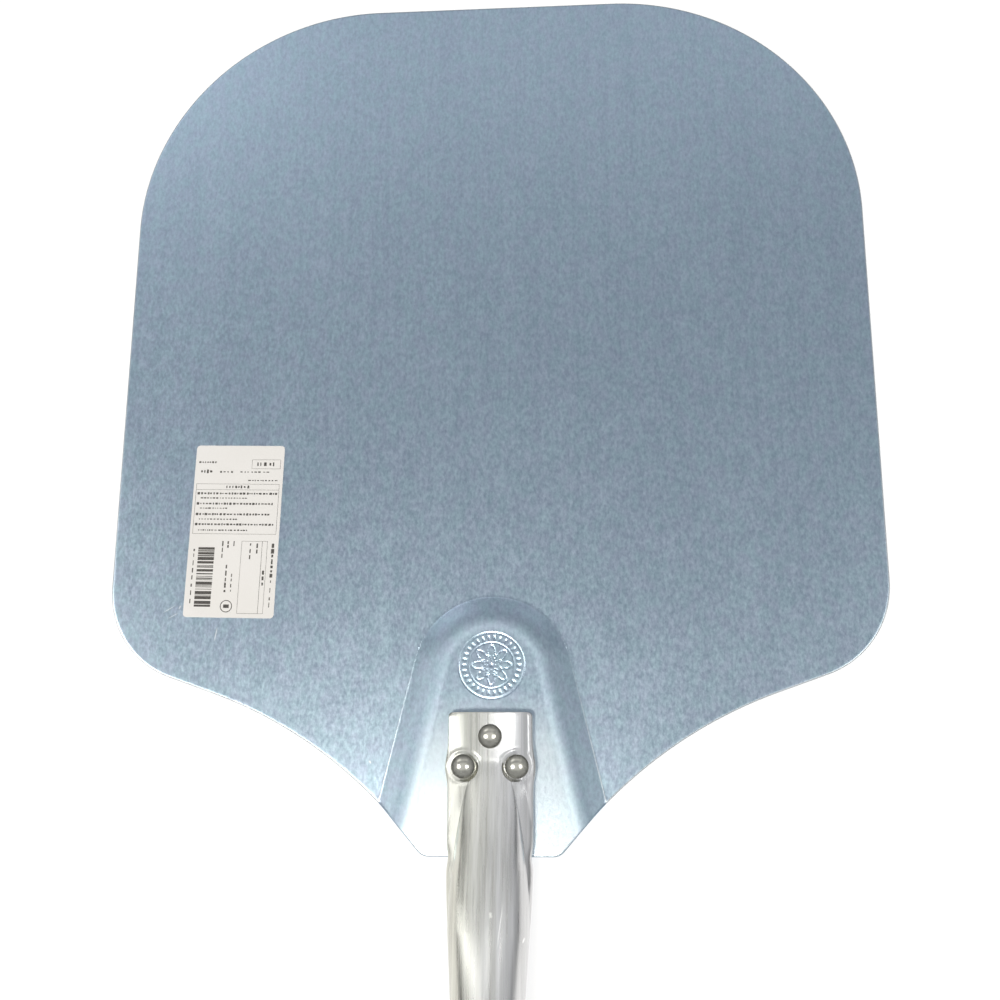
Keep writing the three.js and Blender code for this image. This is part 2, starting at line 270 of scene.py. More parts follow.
def ring_faces(first, second, count):
    """Quads between two closed rings whose vertices start at two indices."""
    return [(first + i, first + (i + 1) % count, second + (i + 1) % count, second + i) for i in range(count)]


def sleeve(rings):
    """A closed skin through rings, the last of which meets the first."""
    count = len(rings[0])
    faces = []
    for r in range(len(rings)):
        faces += ring_faces(r * count, (r + 1) % len(rings) * count, count)
    return np.concatenate(rings), faces


def lathe(profile, centre, segments):
    """A solid turned about a vertical axis; the profile runs up from the axis and back to it."""
    turns = np.arange(segments) * 2 * math.pi / segments
    verts, faces, starts = [], [], []
    for radius, z in profile:
        starts.append(len(verts))
        if radius == 0:
            verts.append((centre[0], centre[1], centre[2] + z))
        else:
            verts += [(centre[0] + radius * math.cos(t), centre[1] + radius * math.sin(t), centre[2] + z)
                      for t in turns]
    for k in range(len(profile) - 1):
        low, high = starts[k], starts[k + 1]
        if profile[k][0] == 0:
            faces += [(low, high + (i + 1) % segments, high + i) for i in range(segments)]
        elif profile[k + 1][0] == 0:
            faces += [(low + i, low + (i + 1) % segments, high) for i in range(segments)]
        else:
            faces += ring_faces(low, high, segments)
    return verts, faces


def arc(cx, cy, radius, start, end, step=OUTLINE_STEP / 2):
    count = max(3, math.ceil(radius * abs(end - start) / step))
    turns = np.linspace(start, end, count + 1)
    return np.stack([cx + radius * np.cos(turns), cy + radius * np.sin(turns)], 1)


# -------------------- blade

def half_outline():
    """The blade's outline on the +X side, from the front edge to the neck."""
    quarter = math.pi / 2
    front = arc(HALF_WIDTH - FRONT_CORNER_RADIUS, FRONT_Y - FRONT_CORNER_RADIUS, FRONT_CORNER_RADIUS,
                quarter, 0)
    rear = arc(HALF_WIDTH - REAR_CORNER_RADIUS, FRONT_Y - FRONT_TO_REAR_CORNER, REAR_CORNER_RADIUS,
               0, SHOULDER_ANGLE - quarter)
    along = np.array([math.cos(SHOULDER_ANGLE), math.sin(SHOULDER_ANGLE)])
    start = rear[-1] - SHOULDER_STRAIGHT * along
    hollow = arc(start[0] + SHOULDER_RADIUS * along[1], start[1] - SHOULDER_RADIUS * along[0],
                 SHOULDER_RADIUS, quarter + SHOULDER_ANGLE, quarter + NECK_ANGLE)
    corner_y = NECK_Y + NECK_CORNER_RADIUS
    meet_y = corner_y - NECK_CORNER_RADIUS * math.cos(NECK_ANGLE)
    meet_x = hollow[-1][0] - (hollow[-1][1] - meet_y) / math.tan(NECK_ANGLE)
    corner = arc(meet_x - NECK_CORNER_RADIUS * math.sin(NECK_ANGLE), corner_y, NECK_CORNER_RADIUS,
                 NECK_ANGLE - quarter, -quarter)
    return np.concatenate([front, rear, hollow, corner])


def resampled(loop, step):
    """A closed loop with points evenly spaced along it."""
    closed = np.concatenate([loop, loop[:1]])
    lengths = np.concatenate([[0], np.cumsum(np.linalg.norm(np.diff(closed, axis=0), axis=1))])
    count = round(lengths[-1] / step)
    at = np.linspace(0, lengths[-1], count, endpoint=False)
    return np.stack([np.interp(at, lengths, closed[:, 0]), np.interp(at, lengths, closed[:, 1])], 1)


def drawn_in(loop, inset):
    """A counter-clockwise loop moved inwards."""
    along = np.roll(loop, -1, 0) - np.roll(loop, 1, 0)
    along /= np.linalg.norm(along, axis=1)[:, None]
    return loop + inset * np.stack([-along[:, 1], along[:, 0]], 1)


def arch_depth(x, y):
    """How far a point lies inside the foot of the arch's wall; negative is outside."""
    side, ahead = np.abs(x), y - ARCH_CENTRE_Y
    on_round = np.arctan2(ahead, side) >= ARCH_FLARE
    flared = side * math.cos(ARCH_FLARE) + ahead * math.sin(ARCH_FLARE)
    return ARCH_RADIUS - np.where(on_round, np.hypot(side, ahead), flared)


def arch_curve(inset, step):
    """Points on the arch's plan, drawn in by an inset."""
    radius = ARCH_RADIUS - inset
    points = arc(0, ARCH_CENTRE_Y, radius, ARCH_FLARE, math.pi - ARCH_FLARE, step)
    drop = np.arange(step, points[0][1] - NECK_Y, step)
    foot = np.stack([points[0][0] + drop * math.tan(ARCH_FLARE), points[0][1] - drop], 1)
    return np.concatenate([foot, points, foot * [-1, 1]])


def arch_profile():
    """The wall's height against the distance inside its foot, from its slope."""
    depth = np.linspace(-2 * MM, ARCH_RUN + 2 * TOP_BEND, 400)
    past_top = smoothstep(ARCH_RUN - TOP_BEND, ARCH_RUN + TOP_BEND, depth)
    height = np.cumsum(smoothstep(-FOOT_BEND, FOOT_BEND, depth) * (1 - past_top))
    return depth, ARCH_RISE * height / height[-1]


ARCH_PROFILE = arch_profile()


def arch_height(x, y):
    return np.interp(arch_depth(x, y), *ARCH_PROFILE)


def groove(distance, half_width):
    """The cross-section of a stamped line, 1 at its middle."""
    return np.clip(1 - (distance / half_width) ** 2, 0, 1) ** 1.5


def stamp_height(x, y):
    """A plain roundel: rim, a ring of flutes and a rosette."""
    dy = y - STAMP_Y
    reach = np.hypot(x, dy)
    turn = np.arctan2(dy, x)
    rim = groove(reach - STAMP_RIM * STAMP_RADIUS, RIM_LINE)
    flute_ring = groove(reach - STAMP_FLUTE_RING * STAMP_RADIUS, FLUTE_LINE)
    flutes = smoothstep(0.1, 0.7, np.cos(STAMP_FLUTES * turn)) * flute_ring
    ring = 0.6 * groove(reach - STAMP_INNER_RING * STAMP_RADIUS, RING_LINE)
    petal = STAMP_RADIUS * (0.2 + 0.38 * np.abs(np.cos(STAMP_PETALS * turn / 2)))
    petals = groove(reach - petal, PETAL_LINE)
    inner = STAMP_RADIUS * (0.12 + 0.2 * np.abs(np.sin(STAMP_PETALS * turn / 2)))
    petals = np.maximum(petals, 0.7 * groove(reach - inner, INNER_PETAL_LINE))
    boss = groove(reach, BOSS_RADIUS)
    return -STAMP_DEPTH * np.maximum.reduce([rim, flutes, ring, petals, boss])


def hex_lattice(low, high, pitch):
    """Points in staggered rows over a rectangle."""
    places = np.arange(low[0], high[0], pitch)
    rows = np.arange(low[1], high[1], pitch * math.sqrt(3) / 2)
    return np.array([(x + (k % 2) * pitch / 2, y) for k, y in enumerate(rows) for x in places])


def stamp_points():
    """Points in rings, close together, for the roundel's relief."""
    points = []
    for reach in np.arange(0.2 * MM, STAMP_REACH * STAMP_RADIUS, 0.24 * MM):
        count = int(np.clip(2 * math.pi * reach / (0.3 * MM), 12, 240))
        turns = np.arange(count) * 2 * math.pi / count
        points.append(np.stack([reach * np.cos(turns), STAMP_Y + reach * np.sin(turns)], 1))
    return np.concatenate(points)


def rivet_centre(name):
    low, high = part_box(name)
    return (low + high) / 2


def blade_interior(loop, guard, holes):
    """Points inside the outline: close together on the arch and the roundel, wide apart on the flat.

    The guard loop just inside the cut edge keeps the edge's rounding out of the flat's shading.
    """
    flat = hex_lattice(BLADE_LOW, BLADE_HIGH, FLAT_PITCH)
    flat = flat[arch_depth(flat[:, 0], flat[:, 1]) < -4 * MM]
    walls = np.concatenate([arch_curve(inset * MM, WALL_STEP) for inset in WALL_ROWS])
    pad = hex_lattice((-40 * MM, NECK_Y), (40 * MM, ARCH_CENTRE_Y + ARCH_RADIUS), PAD_PITCH)
    pad = pad[arch_depth(pad[:, 0], pad[:, 1]) > 15 * MM]
    points = np.concatenate([flat, walls, pad])
    off_stamp = np.hypot(points[:, 0], points[:, 1] - STAMP_Y) > STAMP_REACH * STAMP_RADIUS + 0.3 * MM
    points = np.concatenate([points[off_stamp], stamp_points()])
    x, y = points.T
    limit = np.interp(-y, -loop[:, 1], loop[:, 0])
    margin = EDGE_REACH + 2.2 * GUARD_INSET
    keep = (np.abs(x) < limit - margin) & (y < FRONT_Y - margin) & (y > NECK_Y + margin)
    for hole in holes:
        keep &= np.hypot(x - hole[0], y - hole[1]) > HOLE_RADIUS + margin
    return np.concatenate([points[keep], guard])


def blade(material):
    """The pressed sheet: one triangulated plan for both faces, joined by the rolled edge and the holes."""
    right = half_outline()
    around = np.concatenate([right[::-1], right * [-1, 1]])
    loop = resampled(around, OUTLINE_STEP)
    top_loop = drawn_in(loop, EDGE_REACH)
    centres = [rivet_centre(name)[:2] for name in RIVETS]
    turns = np.arange(32) * 2 * math.pi / 32
    rim = HOLE_RADIUS * np.stack([np.cos(turns), np.sin(turns)], 1)
    rims = [rim + tuple(centre) for centre in centres]
    loops = [top_loop, *rims]
    edges, start = [], 0
    for points in loops:
        edges += [(start + i, start + (i + 1) % len(points)) for i in range(len(points))]
        start += len(points)
    inside = blade_interior(right, drawn_in(loop, EDGE_REACH + GUARD_INSET), centres)
    flat = np.concatenate([*loops, inside]) / MM
    solved = delaunay_2d_cdt([Vector(p) for p in flat], edges, [], 0, 1e-5, False)
    plan = np.array([v[:] for v in solved[0]]) * MM
    assert len(plan) == len(flat), "the triangulation moved a point"
    triangles = np.array(solved[2])
    middle = plan[triangles].mean(1)
    edge = drawn_in(around, EDGE_REACH)[:len(right)]
    width = np.interp(middle[:, 1], edge[:, 1], edge[:, 0])
    keep = np.abs(middle[:, 0]) < width
    for centre in centres:
        keep &= np.hypot(*(middle - tuple(centre)).T) > HOLE_RADIUS * 0.97
    triangles = triangles[keep]

    rise = arch_height(plan[:, 0], plan[:, 1])
    top = np.column_stack([plan, SHEET + rise + stamp_height(plan[:, 0], plan[:, 1])])
    bottom = np.column_stack([plan, rise])
    verts = [top, bottom]
    count = len(plan)
    faces = [tuple(t) for t in triangles] + [tuple(t[::-1] + count) for t in triangles]
    ring = len(loop)
    previous, total = 0, 2 * count
    for k in list(range(1, EDGE_STEPS + 1)) + list(range(EDGE_STEPS, 0, -1)):
        lean = k / EDGE_STEPS * math.pi / 2
        on_top = len(verts) - 2 < EDGE_STEPS
        plan_ring = drawn_in(loop, EDGE_REACH * (1 - math.sin(lean)))
        drop = EDGE_DROP * (1 - math.cos(lean))
        z = arch_height(plan_ring[:, 0], plan_ring[:, 1]) + (SHEET - drop if on_top else drop)
        verts.append(np.column_stack([plan_ring, z]))
        faces += ring_faces(total, previous, ring)
        previous, total = total, total + ring
    faces += ring_faces(count, previous, ring)
    start = ring
    for rim in rims:
        faces += ring_faces(start, count + start, len(rim))
        start += len(rim)
    return new_piece("blade_pressed", np.concatenate(verts), faces, material, ("blade",),
                     math.radians(50))


# -------------------- handle tube

def progress(y, start, end=ROUND_START_Y):
    return min(1.0, max(0.0, (start - y) / (start - end)))


def ease_out(u):
    return 1 - (1 - u) ** 2


def soft_start(u, ease):
    """From 0 to 1 like u, but starting level."""
    return (math.hypot(u, ease) - ease) / (math.hypot(1, ease) - ease)


def round_half(q, power=0.5):
    return np.clip(1 - q * q, 0, 1) ** power


def flat_half(q):
    return np.clip(1 - q ** 4, 0, 1) ** 0.25


def upper_shares(skirt_share, bulge_share):
    """Places across the top of a section, with one column on each crease."""
    ease = np.sin(np.linspace(0, 1, 9) * math.pi / 2)
    wing = lerp(skirt_share, 1, ease)[::-1]
    skirt = np.linspace(skirt_share, bulge_share, 14)[1:]
    bulge = bulge_share * np.cos(np.linspace(0, math.pi / 2, 24))[1:]
    half = np.concatenate([wing, skirt, bulge])
    return np.concatenate([half, -half[-2::-1]])


def with_seats(x, y, z):
    """The tube's top with the rear rivets' seats pressed into it, each inside a low ridge."""
    for name in RIVETS[1:]:
        centre = rivet_centre(name)
        reach = np.hypot(x - centre.x, y - centre.y)
        seat = PAD_TOP + FLAT_HEIGHT - SET_DEPTH
        inside = 1 - smoothstep(SET_RADIUS - 0.5 * MM, SET_RADIUS + SET_WALL, reach)
        ridge = SET_RIDGE * np.exp(-((reach - SET_RADIUS - SET_WALL) / (0.5 * MM)) ** 2)
        off_bulge = smoothstep(0, 0.3 * MM, PAD_TOP + FLAT_HEIGHT + 1 * MM - z)
        z = lerp(z, np.minimum(z, seat), inside) + ridge * off_bulge
    return z


def tube_section(y, inset, dressed):
    """One section of the tube: flat wings, a low facet on each side, and the bulge between them."""
    bulging = progress(y, BULGE_START_Y)
    lifting = float(smoothstep(0, 1, progress(y, LIP_START_Y)))
    narrowing = float(smoothstep(0, 1, progress(y, WIDTH_START_Y)))
    rising = ease_out(soft_start(bulging, BULGE_EASE))
    half_width = lerp(FLAT_WIDTH, TUBE_DIAMETER, narrowing) / 2 - inset
    height = lerp(FLAT_HEIGHT, TUBE_DIAMETER, rising) - 2 * inset
    middle = lerp(FLAT_HEIGHT, TUBE_DIAMETER, lifting) / 2 - inset
    lip = (FLAT_HEIGHT / 2 - inset) * (1 - lifting)
    share = max(progress(y, BULGE_START_Y, BULGE_FULL_Y) ** BULGE_WIDENING, 1e-3)
    skirting = progress(y, SKIRT_START_Y, SKIRT_END_Y)
    skirt_share = lerp(SKIRT_START_SHARE, 1, skirting)
    skirt = SKIRT_HEIGHT * float(smoothstep(0, 0.7, skirting)) * (1 - lifting)
    skirt = min(skirt, 0.5 * (height - middle - lip))
    bulge = height - middle - lip - skirt
    columns = min(max(share, LEAST_SHARE), 0.97)
    upper = upper_shares(min(max(skirt_share, columns + 0.01), 0.99), columns)
    side = np.abs(upper)
    ramp = np.clip((skirt_share - side) / max(skirt_share - share, 0.05), 0, 1)
    above = lip * flat_half(upper) + skirt * lerp(ramp, round_half(upper), narrowing)
    above += bulge * round_half(np.minimum(side / share, 1), lerp(0.7, 0.5, min(1, 2 * bulging)))
    lower = np.cos(np.linspace(math.pi, 2 * math.pi, 38)[1:-1])
    below = -middle * lerp(flat_half(lower), round_half(lower), narrowing)
    q = np.concatenate([upper, lower])
    x = half_width * q
    z = PAD_TOP + inset + middle + np.concatenate([above, below])
    if dressed:
        corner = max(0, PLATE_CORNER - (TUBE_FRONT_Y - y))
        cut = PLATE_CORNER - math.sqrt(PLATE_CORNER ** 2 - corner ** 2)
        swell = SIDE_SWELL * math.exp(-((y - rivet_centre("left_rivet").y) / SWELL_LENGTH) ** 2)
        dent = SIDE_DENT * math.exp(-((y - NECK_Y) / DENT_LENGTH) ** 2)
        x = x + np.sign(q) * (swell - dent - cut) * np.abs(q) ** 5
        flatness = float(1 - smoothstep(0, 0.12, bulging))
        z[:len(upper)] -= PLATE_CROWN * flatness * upper ** 2
        z[:len(upper)] = with_seats(x[:len(upper)], y, z[:len(upper)])
    return np.column_stack([x, np.full(len(x), y), z])


def handle_tube(material):
    """The tube's outside from its front rim to its rear rim, and back along its inside."""
    tip_end = BULGE_START_Y - BULGE_TIP
    fine = np.concatenate([np.arange(TUBE_FRONT_Y - RIM_ROUND, BULGE_START_Y, -0.4 * MM),
                           np.arange(BULGE_START_Y, tip_end, -0.15 * MM),
                           np.arange(tip_end, LIP_START_Y, -0.4 * MM),
                           np.arange(LIP_START_Y, ROUND_START_Y, -0.9 * MM)])
    plain = np.linspace(ROUND_START_Y, TUBE_END_Y + RIM_ROUND, 24)
    rings = []
    for k in range(4):
        lean = k / 4 * math.pi / 2
        y = TUBE_FRONT_Y - RIM_ROUND * (1 - math.sin(math.pi / 2 - lean))
        rings.append(tube_section(y, RIM_ROUND * (1 - math.sin(lean)), True))
    rings += [tube_section(y, 0, True) for y in np.concatenate([fine, plain])]
    for k in range(1, 5):
        lean = k / 4 * math.pi / 2
        y = TUBE_END_Y + RIM_ROUND * (1 - math.sin(lean))
        rings.append(tube_section(y, RIM_ROUND * (1 - math.cos(lean)), False))
    inner = np.concatenate([np.linspace(TUBE_END_Y, ROUND_START_Y, 6)[:-1],
                            np.arange(ROUND_START_Y, TUBE_FRONT_Y, 2.4 * MM), [TUBE_FRONT_Y]])
    rings += [tube_section(y, TUBE_WALL, False) for y in inner]
    verts, faces = sleeve(rings)
    return new_piece("handle_tube_drawn", verts, faces, material, ("handle_tube",),
                     math.radians(42))


# -------------------- rivets, label, cap

def rivet(name, material):
    """A turned solid: the tail's face and rounded side, the shank, and the head's rim and dome."""
    low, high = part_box(name)
    centre = (low + high) / 2
    head_radius = (high.x - low.x) / 2
    tail_radius = head_radius * TAIL_TO_HEAD
    tail_top = ARCH_RISE - TAIL_GAP
    head_foot = PAD_TOP + FLAT_HEIGHT - SET_DEPTH * (name != "front_rivet") + HEAD_GAP
    edge_radius, edge_z = TAIL_EDGE * tail_radius, low.z + TAIL_STEP
    profile = [(0, low.z), (TAIL_FACE * tail_radius, low.z), (edge_radius, edge_z)]
    for t in np.linspace(0, math.pi / 2, 10):
        shoulder = (tail_radius - edge_radius) * math.sin(t)
        profile.append((edge_radius + shoulder, edge_z + TAIL_ROUND * (1 - math.cos(t))))
    profile += [(tail_radius, tail_top), (SHANK_RADIUS, tail_top), (SHANK_RADIUS, head_foot)]
    profile += [(head_radius - HEAD_BEVEL, head_foot), (head_radius, head_foot + HEAD_BEVEL)]
    dome = head_radius * math.tan(RIM_LEAN / 2)
    ball = head_radius / math.sin(RIM_LEAN)
    profile.append((head_radius, high.z - dome - RIM_BAND))
    for t in np.linspace(RIM_LEAN, 0, 22)[:-1]:
        profile.append((ball * math.sin(t), high.z - ball * (1 - math.cos(t))))
    profile.append((0, high.z))
    verts, faces = lathe(profile, (centre.x, centre.y, 0), 64)
    return new_piece(name + "_set", verts, faces, material, (name,))


def label_frame():
    """The label's centre and its two in-plane directions."""
    centre = (LABEL_LOW + LABEL_HIGH) / 2
    across = Vector((math.cos(LABEL_TURN), math.sin(LABEL_TURN), 0))
    along = Vector((-math.sin(LABEL_TURN), math.cos(LABEL_TURN), 0))
    return centre, across, along


def sticker(material):
    centre, across, along = label_frame()
    w, l = LABEL_WIDTH / 2 - LABEL_CORNER, LABEL_LENGTH / 2 - LABEL_CORNER
    outline = []
    for k, (cx, cy) in enumerate([(w, l), (-w, l), (-w, -l), (w, -l)]):
        outline.append(arc(cx, cy, LABEL_CORNER, k * math.pi / 2, (k + 1) * math.pi / 2, 0.25 * MM))
    outline = np.concatenate(outline)
    soft = 0.06 * MM
    rings = []
    top = LABEL_HIGH.z - PRINT_LIFT
    for inset, z in [(0, LABEL_LOW.z), (0, top - soft), (soft, top)]:
        points = drawn_in(outline, inset)
        rings.append([(centre + across * p[0] + along * p[1])[:2] + (z,) for p in points])
    count = len(outline)
    verts = [v for ring in rings for v in ring]
    faces = ring_faces(0, count, count) + ring_faces(count, 2 * count, count)
    faces.append(tuple(range(2 * count, 3 * count)))
    faces.append(tuple(range(count - 1, -1, -1)))
    return new_piece("label_sticker", verts, faces, material, ("label",))


class Print:
    """Thin ink shapes on the label. Places are shares of its width and length from the top left."""

    def __init__(self):
        self.verts, self.faces = [], []
        self.frame = label_frame()
        self.rng = np.random.default_rng(7)

    def point(self, u, v):
        centre, across, along = self.frame
        p = centre + across * ((u - 0.5) * LABEL_WIDTH) + along * ((0.5 - v) * LABEL_LENGTH)
        return p.x, p.y

    def prism(self, corners):
        """A closed plate of ink over a counter-clockwise outline."""
        start, count = len(self.verts), len(corners)
        for z in (LABEL_HIGH.z - 1.5 * PRINT_LIFT, LABEL_HIGH.z):
            self.verts += [(x, y, z) for x, y in corners]
        self.faces.append(tuple(range(start + count - 1, start - 1, -1)))
        self.faces.append(tuple(range(start + count, start + 2 * count)))
        self.faces += ring_faces(start, start + count, count)

    def bar(self, left, top, right, bottom):
        corners = ((left, bottom), (right, bottom), (right, top), (left, top))
        self.prism([self.point(u, v) for u, v in corners])

    def box(self, left, top, right, bottom):
        across, along = HAIRLINE / LABEL_WIDTH, HAIRLINE / LABEL_LENGTH
        self.bar(left, top, right, top + along)
        self.bar(left, bottom - along, right, bottom)
        self.bar(left, top + along, left + across, bottom - along)
        self.bar(right - across, top + along, right, bottom - along)

    def dashes(self, start, end, place, weight, gap, upright=False):
        """A row of short dashes in place of a line of small print; upright rows run down the label."""
        at = start
        while at < end - gap:
            stop = min(at + float(self.rng.uniform(0.5, 1.4)) * DASH_LENGTH, end)
            thick = weight * float(self.rng.uniform(0.55, 1.2)) / 2
            if upright:
                self.bar(place - thick, at, place + thick, stop)
            else:
                self.bar(at, place - thick, stop, place + thick)
            at = stop + gap * float(self.rng.uniform(0.6, 1.5))

    def ring(self, u, v, radius, line, steps=40):
        centre, across, along = self.frame
        middle = Vector(self.point(u, v))
        turns = [2 * math.pi * k / steps for k in range(steps)]
        aims = [(across * math.cos(t) + along * math.sin(t)).to_2d() for t in turns]
        start = len(self.verts)
        for reach in (radius - line, radius):
            for z in (LABEL_HIGH.z - 1.5 * PRINT_LIFT, LABEL_HIGH.z):
                self.verts += [(*(middle + aim * reach), z) for aim in aims]
        inner_low, inner_high, outer_low, outer_high = (start + k * steps for k in range(4))
        self.faces += ring_faces(outer_low, outer_high, steps) + ring_faces(outer_high, inner_high, steps)
        self.faces += ring_faces(inner_high, inner_low, steps) + ring_faces(inner_low, outer_low, steps)


def label_print(material):
    """Dashes, boxes, a stripe block and a ring, laid out like the print on such a label."""
    ink = Print()
    for row in LEVEL_ROWS:
        ink.dashes(*row)
    for k, (v, end) in enumerate(LIST_ROWS):
        if k % 2 == 0:
            ink.bar(0.05, v - 0.007, 0.078, v + 0.007)
        ink.dashes(0.09, end, v, 0.011 if k % 2 == 0 else 0.007, 0.012)
    at = STRIPES_START
    while at < STRIPES_END - 0.01:
        size = float(ink.rng.choice(STRIPE_SIZES))
        ink.bar(0.113, at, 0.294, min(at + size, STRIPES_END))
        at += size + float(ink.rng.choice(STRIPE_GAPS))
    for row in UPRIGHT_ROWS:
        ink.dashes(*row, upright=True)
    ink.box(0.64, 0.083, 0.963, 0.138)
    ink.box(0.03, 0.228, 0.965, 0.522)
    ink.bar(0.03, 0.262, 0.965, 0.2635)
    ink.box(0.59, 0.562, 0.878, 0.975)
    ink.bar(0.818, 0.562, 0.822, 0.975)
    ink.ring(0.469, 0.935, 2.44 * MM, 0.32 * MM)
    ink.bar(0.438, 0.925, 0.5, 0.945)
    return new_piece("label_print", ink.verts, ink.faces, material)


def hanging_cap(material):
    """Collar, taper, and a flat tongue with an eye, as one moulding."""
    collar_radius = (CAP_HIGH.x - CAP_LOW.x) / 2
    insert_radius = TUBE_DIAMETER / 2 - TUBE_WALL - INSERT_GAP
    core_radius = insert_radius - RIB_HEIGHT
    length = CAP_HIGH.y - TUBE_END_Y
    eye_y = CAP_LOW.y + TONGUE_RADIUS
    profile = [(0, length), (core_radius - INSERT_LEAD, length), (core_radius, length - 1 * MM)]
    rib = ((core_radius, 1.5 * MM), (insert_radius - 0.3 * MM, 0.4 * MM), (insert_radius, 0.15 * MM),
           (insert_radius - 0.15 * MM, 0), (core_radius, 0))
    for y in np.arange(length - 2.5 * MM, 1.5 * MM, -RIB_PITCH):
        profile += [(radius, y + rise) for radius, rise in rib]
    profile += [(core_radius, 0), (collar_radius - COLLAR_INNER_EDGE, 0)]
    for t in np.linspace(0, math.pi / 2, 6):
        profile.append((collar_radius - COLLAR_INNER_EDGE * (1 - math.sin(t)),
                        -COLLAR_INNER_EDGE * (1 - math.cos(t))))
    taper_radius = collar_radius - COLLAR_OUTER_EDGE
    for t in np.linspace(0, math.pi / 2, 8):
        profile.append((taper_radius + COLLAR_OUTER_EDGE * math.cos(t),
                        COLLAR_OUTER_EDGE * (1 - math.sin(t)) - COLLAR_LENGTH))
    for t in np.linspace(0, 1, 10)[1:]:
        profile.append((lerp(taper_radius, TAPER_END_RADIUS, ease_out(t)),
                        lerp(-COLLAR_LENGTH, -TAPER_END, t)))
    profile.append((0, -TAPER_END))
    verts, faces = lathe(profile[::-1], (0, 0, 0), 72)
    verts = [(x, TUBE_END_Y + z, TUBE_AXIS_Z - y) for x, y, z in verts]
    body = new_piece("hanging_cap_moulded", verts, faces, material, ("hanging_cap",))

    root_y = TUBE_END_Y - TONGUE_ROOT
    half = TONGUE_THICKNESS / 2
    outline = np.concatenate([arc(0, eye_y, TONGUE_RADIUS, math.pi, 2 * math.pi, 0.6 * MM),
                              [(TONGUE_RADIUS, root_y), (-TONGUE_RADIUS, root_y)]])
    rings = []
    for t in np.linspace(0, math.pi / 2, 6):
        rings.append((TONGUE_EDGE * (1 - math.sin(t)), -half + TONGUE_EDGE * (1 - math.cos(t))))
    rings += [(inset, -z) for inset, z in rings[::-1]]
    verts, count = [], len(outline)
    for inset, z in rings:
        verts += [(x, y, TUBE_AXIS_Z + z) for x, y in drawn_in(outline, inset)]
    faces = [tuple(range(count - 1, -1, -1)), tuple(range(len(verts) - count, len(verts)))]
    for k in range(len(rings) - 1):
        faces += ring_faces(k * count, (k + 1) * count, count)
    tongue = mesh_object("tongue_tool", verts, faces)
    reach = half + 0.2 * MM
    profile = [(0, -reach)]
    for z in np.linspace(-reach, reach, 25):
        lean = min(max(0.0, abs(z) - (half - EYE_FLARE)) / EYE_FLARE, 1.0)
        profile.append((EYE_RADIUS + EYE_FLARE * (1 - math.sqrt(1 - lean ** 2)), z))
    profile.append((0, reach))
    verts, faces = lathe(profile, (0, eye_y, TUBE_AXIS_Z), 48)
    eye = mesh_object("eye_tool", verts, faces)
    cut_or_join(body, tongue, "UNION")
    cut_or_join(body, eye, "DIFFERENCE")
    return body


def cut_or_join(piece, tool, operation):
    """Applies a boolean with a tool, and removes the tool."""
    step = piece.modifiers.new(operation.lower(), "BOOLEAN")
    step.operation = operation
    step.object = tool
    step.solver = "EXACT"
    bpy.context.view_layer.update()
    evaluated = piece.evaluated_get(bpy.context.evaluated_depsgraph_get())
    made = bpy.data.meshes.new_from_object(evaluated)
    piece.modifiers.remove(step)
    piece.data = made
    made.shade_smooth()
    made.set_sharp_from_angle(angle=SHARP_ANGLE)
    bpy.data.objects.remove(tool)


# -------------------- materials

